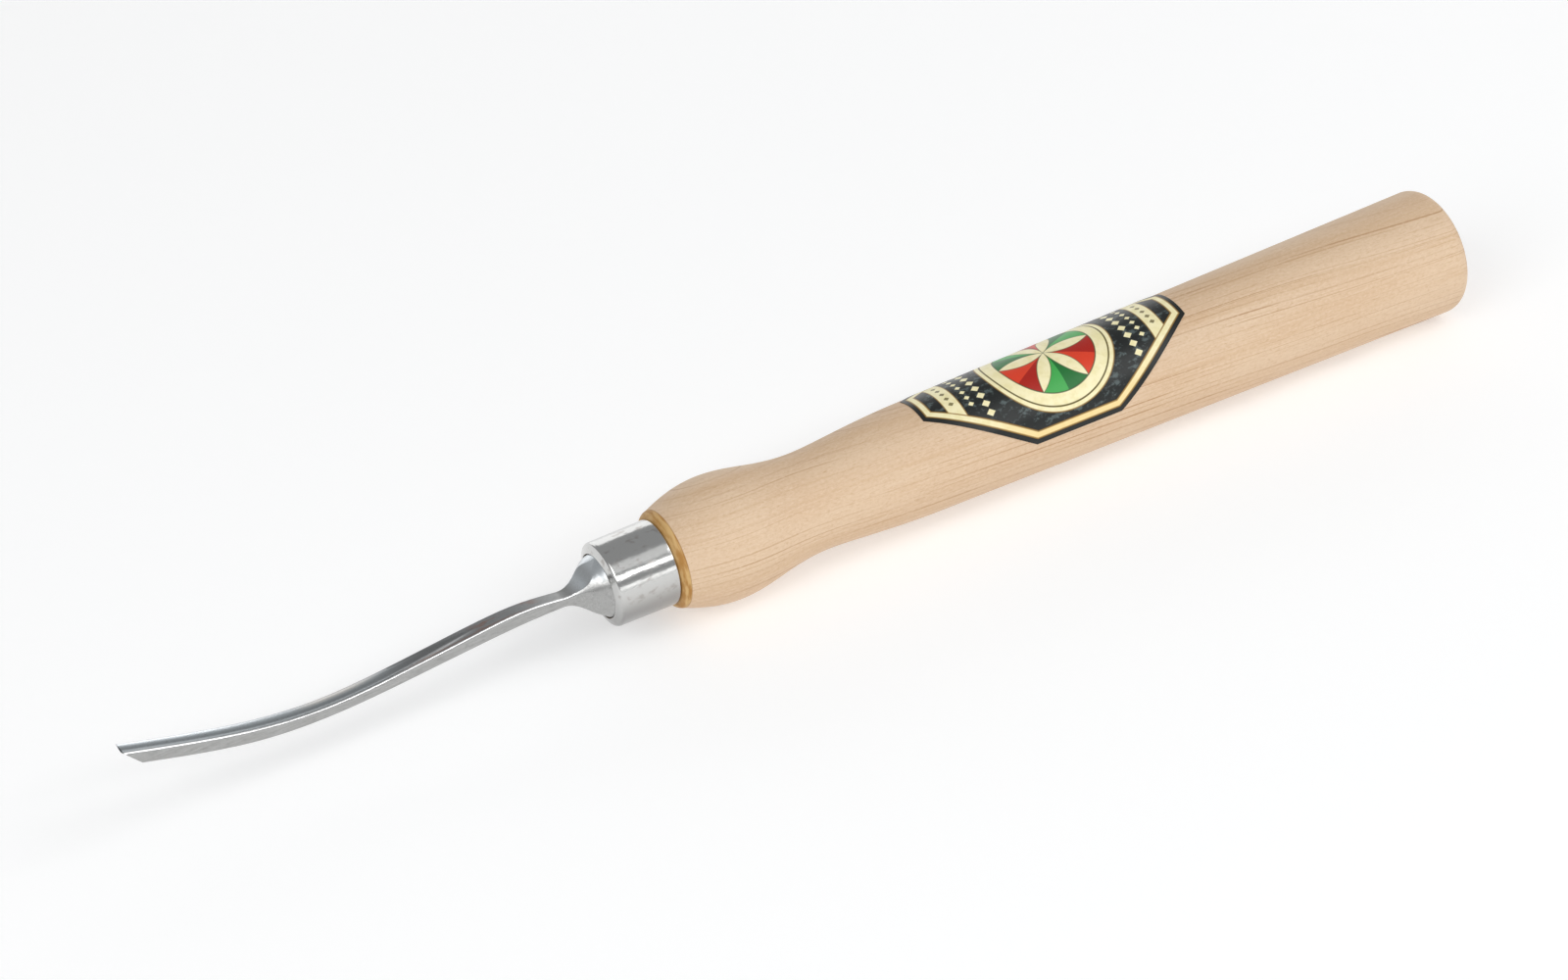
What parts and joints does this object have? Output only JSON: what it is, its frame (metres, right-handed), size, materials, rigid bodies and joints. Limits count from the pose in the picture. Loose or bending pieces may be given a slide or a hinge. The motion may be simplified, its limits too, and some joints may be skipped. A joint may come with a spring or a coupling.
{
  "type": "carving gouge",
  "caption": "Small wood-carving gouge: a narrow S-bent channelled blade with a flared bolster, set through a ferrule into a long turned wooden handle with a paper label.",
  "frame": {"origin": "centre of the flat butt face at the end of the handle", "axes": "+X along the handle axis and out of the butt, so the cutting edge points to -X; +Z towards the side the blade's channel opens to; +Y completes the right-handed frame"},
  "size_m": [0.2252, 0.0202, 0.0202],
  "materials": {
    "blade_steel": "finely ground and polished tool steel",
    "ferrule_nickel": "bright nickel plate",
    "handle_wood": "pale hornbeam, fine sanded, satin",
    "label_paper": "printed paper, semi-gloss"
  },
  "bodies": {
    "root": {"blade": "blade_steel", "ferrule": "ferrule_nickel", "handle": "handle_wood", "label": "label_paper"}
  },
  "joints": []
}
